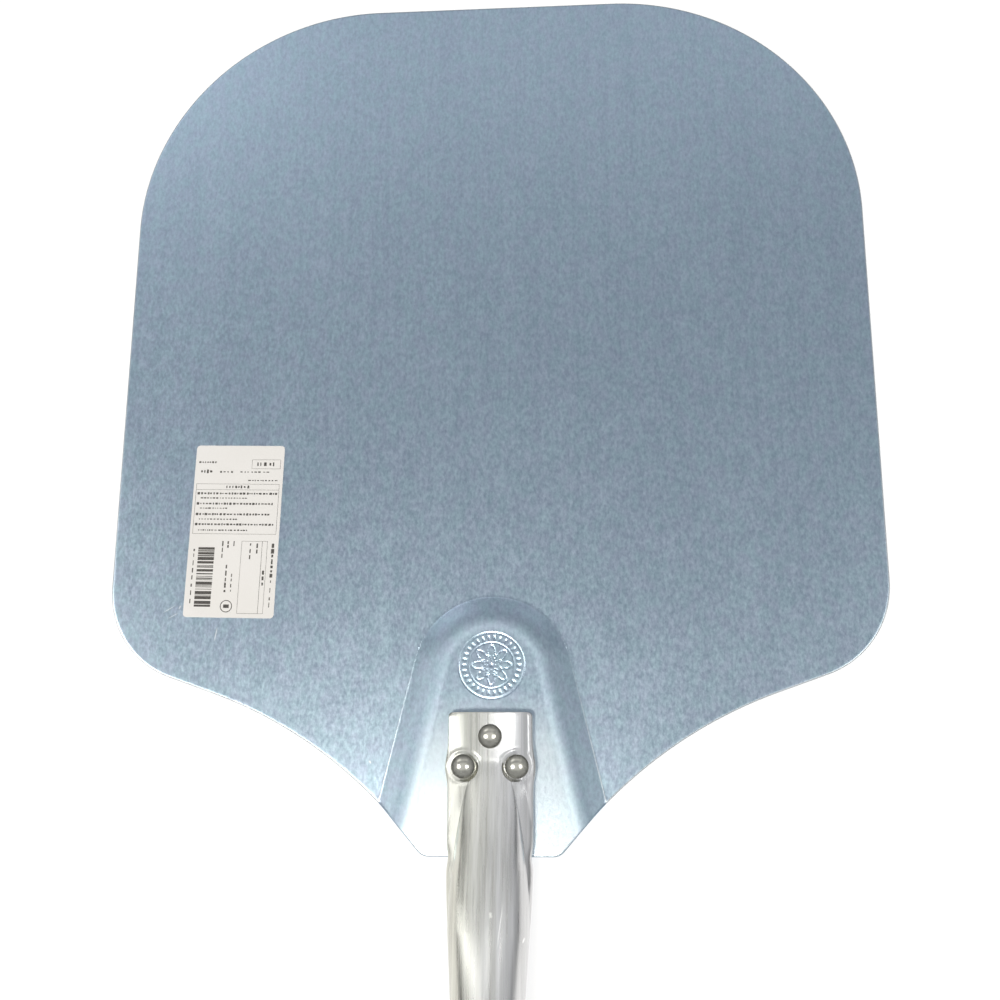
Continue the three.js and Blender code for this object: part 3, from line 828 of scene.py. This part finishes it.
class Recipe:
    """A node material around one Principled shader."""

    def __init__(self, name, metallic):
        self.material = bpy.data.materials.new(name)
        self.material.use_nodes = True
        self.tree = self.material.node_tree
        self.shader = self.tree.nodes["Principled BSDF"]
        self.shader.inputs["Metallic"].default_value = metallic
        self.place = self.tree.nodes.new("ShaderNodeTexCoord").outputs["Object"]
        self.x, self.y, self.z = self.node("ShaderNodeSeparateXYZ", {"Vector": self.place}).outputs

    def node(self, kind, inputs=None, **settings):
        made = self.tree.nodes.new(kind)
        for key, value in settings.items():
            setattr(made, key, value)
        for key, value in (inputs or {}).items():
            self.feed(made.inputs[key], value)
        return made

    def feed(self, socket, value):
        if isinstance(value, bpy.types.NodeSocket):
            self.tree.links.new(value, socket)
        else:
            socket.default_value = value

    def noise(self, scale, stretch=(1, 1, 1), detail=2.0, roughness=0.5):
        """Noise with features about 1/scale metres across, stretched per axis."""
        squeeze = tuple(1 / share for share in stretch)
        mapped = self.node("ShaderNodeMapping", {"Vector": self.place, "Scale": squeeze})
        made = self.node("ShaderNodeTexNoise", {"Vector": mapped.outputs[0], "Scale": scale, "Detail": detail,
                                                "Roughness": roughness})
        return made.outputs["Fac"]

    def math(self, operation, a, b=0.0):
        return self.node("ShaderNodeMath", {0: a, 1: b}, operation=operation).outputs[0]

    def remap(self, value, low, high, to_low, to_high):
        return self.node("ShaderNodeMapRange", {"Value": value, "From Min": low, "From Max": high,
                                                "To Min": to_low, "To Max": to_high}).outputs[0]

    def mix(self, factor, first, second, blend="MIX"):
        made = self.node("ShaderNodeMix", data_type="RGBA", blend_type=blend)
        self.feed(made.inputs[0], factor)
        self.feed(made.inputs[6], first)
        self.feed(made.inputs[7], second)
        return made.outputs[2]

    def swing(self, noise, amount, spread=0.2):
        """Noise as plus or minus an amount, which it reaches at a spread from its middle."""
        return self.remap(noise, 0.5 - spread, 0.5 + spread, -amount, amount)

    def total(self, *terms):
        return reduce(lambda a, b: self.math("ADD", a, b), terms)

    def product(self, *factors):
        return reduce(lambda a, b: self.math("MULTIPLY", a, b), factors)

    def distance(self, value, place):
        return self.math("ABSOLUTE", self.math("SUBTRACT", value, place))

    def arch(self):
        """How far ahead of the arch's centre a point is, and how far out from its middle line."""
        side = self.math("ABSOLUTE", self.x)
        ahead = self.math("SUBTRACT", self.y, ARCH_CENTRE_Y)
        squares = self.total(self.product(side, side), self.product(ahead, ahead))
        rounded = self.math("SQRT", squares)
        flared = self.total(self.product(side, math.cos(ARCH_FLARE)),
                            self.product(ahead, math.sin(ARCH_FLARE)))
        joint = ARCH_RADIUS * math.sin(ARCH_FLARE)
        on_round = self.remap(ahead, joint - 1 * MM, joint + 1 * MM, 0, 1)
        out = self.total(self.product(rounded, on_round),
                         self.product(flared, self.math("SUBTRACT", 1.0, on_round)))
        return ahead, out

    def scratch(self, start, end, width):
        """1 on a straight scratch that tapers to its ends, 0 elsewhere. Takes millimetres."""
        start, end, width = [c * MM for c in start], [c * MM for c in end], width * MM
        length = math.dist(start, end)
        along_x = (end[0] - start[0]) / length
        along_y = (end[1] - start[1]) / length
        dx = self.math("SUBTRACT", self.x, start[0])
        dy = self.math("SUBTRACT", self.y, start[1])
        along = self.total(self.product(dx, along_x), self.product(dy, along_y))
        off = self.math("ABSOLUTE", self.total(self.product(dx, -along_y), self.product(dy, along_x)))
        from_middle = self.distance(along, length / 2)
        return self.product(self.remap(off, 0.3 * width, width, 1, 0),
                            self.remap(from_middle, length / 2, 0.2 * length, 0, 1))

    def bump(self, height, distance, strength, under=None):
        inputs = {"Height": height, "Distance": distance, "Strength": strength}
        if under is not None:
            inputs["Normal"] = under
        return self.node("ShaderNodeBump", inputs).outputs[0]

    def finish(self, colour, roughness, normal=None):
        self.feed(self.shader.inputs["Base Color"], colour)
        self.feed(self.shader.inputs["Roughness"], roughness)
        if normal is not None:
            self.feed(self.shader.inputs["Normal"], normal)
        return self.material


def sheet_material():
    """Rolled aluminium sheet: grain, rolling lines, scratches, painted highlights on the arch's crease, on
    the rolled edge (partly edge wear) and on the neck's pad, and painted shade on the wall's top bend.
    """
    r = Recipe("sheet_aluminium", 1.0)
    grain = r.noise(900, (1, 1.8, 1), 3.0, 0.65)
    rolling = r.noise(420, (1, 60, 1))
    clouds = r.noise(14, (1, 1.4, 1), 3.0)
    marks = r.noise(55, (1, 1, 1), 4.0, 0.65)
    tarnish = r.noise(240, (1, 1.5, 1))
    ahead, out = r.arch()
    # Painted highlight: a thin lightened line along the arch's outer crease, fading towards its front
    crease_highlight = r.product(r.remap(r.distance(out, ARCH_RADIUS), 0.1 * MM, 0.35 * MM, 1, 0),
                       r.remap(ahead, 6 * MM, -50 * MM, 0.1, 1))
    scratches = r.total(*[r.scratch(*scratch) for scratch in SHEET_SCRATCHES])
    tone = r.total(r.swing(grain, 0.33), r.swing(rolling, 0.05, 0.15), r.swing(clouds, 0.04), 0.5)
    colour = r.mix(tone, (0.385, 0.497, 0.63, 1), (0.615, 0.77, 0.905, 1))
    tint = r.mix(r.remap(tarnish, 0.35, 0.65, 0, 1), (1, 0.965, 1, 1), (0.95, 1, 0.985, 1))
    colour = r.mix(1.0, colour, tint, "MULTIPLY")
    # Painted highlight, partly edge wear: the top of the rolled cut edge is lightened
    edge = r.product(r.remap(r.z, SHEET - 0.1 * MM, SHEET - 0.02 * MM, 1, 0),
                     r.remap(r.z, 0.1 * MM, 0.3 * MM, 0, 1))
    # Real scratches and the painted highlights on the crease and the rolled edge all lighten the colour
    rubbed_and_highlit = r.total(r.product(crease_highlight, 0.5), r.product(scratches, 0.8), r.product(edge, 0.9))
    colour = r.mix(rubbed_and_highlit, colour, (0.95, 0.98, 1, 1))
    # Painted highlight: the pad inside the arch, near the neck, is lightened
    pad_highlight = r.product(r.remap(out, 22 * MM, 15 * MM, 0, 1), r.remap(ahead, -6 * MM, -28 * MM, 0, 1),
                     r.remap(r.z, PAD_TOP - 1 * MM, PAD_TOP - 0.5 * MM, 0, 1))
    colour = r.mix(r.product(pad_highlight, 0.6), colour, (0.78, 0.88, 0.95, 1))
    # The bend at the wall's top is stretched, so it is duller; its colour is also darkened there as painted
    # shade
    bend_dullness_and_shade = r.remap(r.distance(out, ARCH_RADIUS - ARCH_RUN), 1.5 * MM, 5 * MM, 1, 0)
    colour = r.mix(bend_dullness_and_shade, colour, (0.83, 0.83, 0.83, 1), "MULTIPLY")
    rough = r.total(r.swing(grain, 0.03), r.remap(marks, 0.5, 0.75, 0, 0.03),
                    r.product(bend_dullness_and_shade, 0.26), 0.31)
    waves = r.bump(clouds, 0.3 * MM, 0.05)
    fine = r.bump(grain, 0.03 * MM, 0.6, waves)
    return r.finish(colour, rough, r.bump(rolling, 0.02 * MM, 0.4, fine))


def tube_material():
    """Drawn aluminium tube: bright, with lengthwise drawing lines and a painted reflection that warms its
    left side and cools its right; its pressed plate is glossier.
    """
    r = Recipe("tube_aluminium", 1.0)
    fine = r.noise(1300, (1, 140, 7), 2.0, 0.6)
    broad = r.noise(420, (1, 70, 7))
    clouds = r.noise(60, (1, 2.5, 1), 3.0)
    plate = r.remap(r.y, BULGE_START_Y - 8 * MM, BULGE_START_Y, 0, 1)
    scratches = r.total(*[r.scratch(*scratch) for scratch in TUBE_SCRATCHES])
    tone = r.total(r.swing(fine, 0.25), r.swing(broad, 0.25, 0.15), r.swing(clouds, 0.1), 0.5)
    colour = r.mix(tone, (0.55, 0.55, 0.545, 1), (0.84, 0.84, 0.83, 1))
    colour = r.mix(scratches, colour, (1, 1, 0.98, 1))
    # Painted reflection: the colour is yellower on the tube's left side and bluer on its right
    across = r.total(r.x, r.swing(broad, 3 * MM, 0.15))
    tint = r.mix(r.remap(across, -9 * MM, 9 * MM, 0, 1), (0.96, 0.955, 0.87, 1), (0.985, 0.985, 1, 1))
    colour = r.mix(1.0, colour, tint, "MULTIPLY")
    rough = r.total(r.remap(fine, 0.3, 0.7, -0.04, 0.05), r.remap(broad, 0.4, 0.7, 0, 0.05),
                    r.product(plate, -0.11), 0.27)
    lines = r.bump(broad, 0.03 * MM, 0.1)
    return r.finish(colour, rough, r.bump(fine, 0.01 * MM, 0.12, lines))


def rivet_material():
    """Polished rivet with the faint dents and nicks that setting leaves, and grime with painted shade low on
    the dome.
    """
    r = Recipe("rivet_metal", 1.0)
    dents = r.noise(700)
    nicks = r.noise(3800)
    foot = PAD_TOP + FLAT_HEIGHT
    # Painted shade, partly grime: the dome is darkened low down, near where it meets the plate
    grime_and_shade = r.product(r.remap(r.z, foot + 0.9 * MM, foot + 2.2 * MM, 1, 0),
                      r.remap(r.z, foot + 0.45 * MM, foot + 0.7 * MM, 0, 1))
    tone = r.total(r.swing(dents, 0.2), r.swing(nicks, 0.1), 0.5)
    colour = r.mix(tone, (0.56, 0.55, 0.475, 1), (0.8, 0.78, 0.7, 1))
    colour = r.mix(r.product(grime_and_shade, 0.9), colour, (0.11, 0.11, 0.085, 1))
    rough = r.total(r.remap(nicks, 0.45, 0.75, 0, 0.08), r.remap(dents, 0.4, 0.7, 0, 0.06),
                    r.product(grime_and_shade, 0.15), 0.17)
    return r.finish(colour, rough, r.bump(dents, 0.05 * MM, 0.4))


def paper_material():
    """Semi-matt printed sticker paper."""
    r = Recipe("label_paper", 0.0)
    fibres = r.noise(2600, (1, 3, 1), 4.0, 0.7)
    yellowing = r.noise(40)
    tone = r.total(r.swing(fibres, 0.2), r.swing(yellowing, 0.25), 0.5)
    colour = r.mix(tone, (0.805, 0.80, 0.795, 1), (0.865, 0.862, 0.875, 1))
    return r.finish(colour, r.remap(fibres, 0.3, 0.7, 0.5, 0.65), r.bump(fibres, 0.02 * MM, 0.5))


def ink_material():
    """Slightly uneven dark printing ink."""
    r = Recipe("label_ink", 0.0)
    patches = r.noise(1800, (1, 1, 1), 3.0)
    colour = r.mix(r.remap(patches, 0.3, 0.7, 0, 1), (0.035, 0.032, 0.03, 1), (0.12, 0.115, 0.11, 1))
    return r.finish(colour, r.remap(patches, 0.3, 0.7, 0.4, 0.6))


def plastic_material():
    """Dark moulded polyethylene with a fine spark-eroded texture and light handling shine."""
    r = Recipe("cap_plastic", 0.0)
    texture = r.noise(2600, (1, 1, 1), 3.0, 0.6)
    wear = r.noise(160, (1, 1, 1), 4.0, 0.6)
    tone = r.total(r.swing(texture, 0.2), r.remap(wear, 0.4, 0.7, -0.1, 0.4), 0.4)
    colour = r.mix(tone, (0.018, 0.019, 0.02, 1), (0.05, 0.052, 0.054, 1))
    rough = r.total(r.swing(texture, 0.06), r.remap(wear, 0.4, 0.7, 0.05, -0.1), 0.5)
    return r.finish(colour, rough, r.bump(texture, 0.05 * MM, 0.6))


# -------------------- stage

def floor():
    """A plain white surface just under the blade. Seen from below it lets the peel show."""
    corners = [(x * FLOOR_HALF, y * FLOOR_HALF, FLOOR_Z) for x, y in ((-1, -1), (1, -1), (1, 1), (-1, 1))]
    plane = mesh_object("floor", corners, [(0, 1, 2, 3)])
    material = bpy.data.materials.new("white_floor")
    material.use_nodes = True
    tree = material.node_tree
    shader = tree.nodes["Principled BSDF"]
    shader.inputs["Base Color"].default_value = FLOOR_GREY
    shader.inputs["Roughness"].default_value = 0.9
    shader.inputs["Emission Color"].default_value = (1, 1, 1, 1)
    shader.inputs["Emission Strength"].default_value = FLOOR_GLOW
    clear = tree.nodes.new("ShaderNodeBsdfTransparent")
    side = tree.nodes.new("ShaderNodeNewGeometry")
    mixed = tree.nodes.new("ShaderNodeMixShader")
    tree.links.new(side.outputs["Backfacing"], mixed.inputs[0])
    tree.links.new(shader.outputs[0], mixed.inputs[1])
    tree.links.new(clear.outputs[0], mixed.inputs[2])
    tree.links.new(mixed.outputs[0], tree.nodes["Material Output"].inputs["Surface"])
    plane.data.materials.append(material)
    return plane


def softbox(name, place, size, power, colour=(1, 1, 1), aim=(0, NECK_Y, PAD_TOP)):
    light = bpy.data.lights.new(name, "AREA")
    light.shape = "RECTANGLE"
    light.size, light.size_y = size
    light.energy = power
    light.color = colour
    lamp = bpy.data.objects.new(name, light)
    lamp.location = place
    lamp.rotation_euler = (Vector(aim) - Vector(place)).to_track_quat("-Z", "Y").to_euler()
    bpy.context.scene.collection.objects.link(lamp)
    return lamp


def studio():
    """Lamps for the flat sheet, and separate ones for the rivets and for the glossier handle."""
    sheet_lamps = [
        softbox("left_softbox", (-1.1, -0.3, 1.2), (0.8, 0.4), 6.5, WARM),
        softbox("right_softbox", (0.85, -0.3, 1.2), (0.7, 0.4), 2.15, WARM),
        softbox("overhead_softbox", (-0.2, -0.55, 1.2), (0.3, 0.3), 7.1, WARM),
    ]
    rivet_lamps = [
        softbox("rivet_left_softbox", (-0.7, -0.16, 1.2), (0.4, 0.4), 4.2),
        softbox("rivet_right_softbox", (0.58, -0.16, 1.2), (0.36, 0.36), 2.6),
        softbox("rivet_sky", (0, -0.155, 2.5), (2.4, 2.4), 5.466),
    ]
    tube_lamps = [
        softbox("tube_sky", (0, -0.5, 2.5), (14, 14), 203.2, aim=(0, -0.5, 0)),
        softbox("plate_softbox", (0.01, -0.03, 1.2), (0.08, 0.14), 0.22),
        softbox("plate_left_softbox", (-0.9, -0.1, 0.75), (0.12, 1.7), 1.9),
        softbox("plate_right_softbox", (0.7, -0.03, 1.2), (0.2, 0.12), 0.2),
    ]
    softbox("front_softbox", (-0.1, 1.05, 1.2), (2.0, 0.4), 0.78)
    softbox("front_left_softbox", (-0.9, 1.05, 1.2), (0.8, 0.4), 0.76)
    bpy.context.scene.view_settings.view_transform = "Standard"
    return sheet_lamps, rivet_lamps, tube_lamps


def walls():
    """Pale surroundings that darken towards the horizon, behind a plain white backdrop."""
    world = bpy.data.worlds.new("studio_walls")
    bpy.context.scene.world = world
    world.use_nodes = True
    tree = world.node_tree
    place = tree.nodes.new("ShaderNodeTexCoord")
    split = tree.nodes.new("ShaderNodeSeparateXYZ")
    climb = tree.nodes.new("ShaderNodeMapRange")
    climb.interpolation_type = "SMOOTHSTEP"
    climb.inputs["From Max"].default_value = 0.5
    climb.inputs["To Min"].default_value = HORIZON_LIGHT
    climb.inputs["To Max"].default_value = SKY_LIGHT
    path = tree.nodes.new("ShaderNodeLightPath")
    strength = tree.nodes.new("ShaderNodeMix")
    strength.inputs["B"].default_value = BACKDROP_LIGHT
    background = tree.nodes["Background"]
    background.inputs["Color"].default_value = WALL_COLOUR
    tree.links.new(place.outputs["Generated"], split.inputs[0])
    tree.links.new(split.outputs["Z"], climb.inputs["Value"])
    tree.links.new(path.outputs["Is Camera Ray"], strength.inputs["Factor"])
    tree.links.new(climb.outputs[0], strength.inputs["A"])
    tree.links.new(strength.outputs["Result"], background.inputs["Strength"])


def light_only(lamps, pieces):
    """Lets lamps shine on some pieces and no others."""
    lit = bpy.data.collections.new("lit_by_" + lamps[0].name)
    for piece in pieces:
        lit.objects.link(piece)
    for lamp in lamps:
        lamp.light_linking.receiver_collection = lit


def camera():
    data = bpy.data.cameras.new("camera")
    data.sensor_width = 36
    data.lens = CAMERA_LENS
    data.clip_start = 10 * MM
    made = bpy.data.objects.new("camera", data)
    made.location = CAMERA_PLACE
    made.rotation_euler = Euler([math.radians(turn) for turn in CAMERA_TURN])
    bpy.context.scene.collection.objects.link(made)
    bpy.context.scene.camera = made


camera()
walls()
sheet_lamps, rivet_lamps, tube_lamps = studio()
ground = floor()
sheet = blade(sheet_material())
tube = handle_tube(tube_material())
rivet_metal = rivet_material()
rivets = [rivet(name, rivet_metal) for name in RIVETS]
paper = sticker(paper_material())
ink = label_print(ink_material())
cap = hanging_cap(plastic_material())
light_only(sheet_lamps, [ground, sheet, paper, ink, cap])
light_only(rivet_lamps, rivets)
light_only(tube_lamps, [tube])
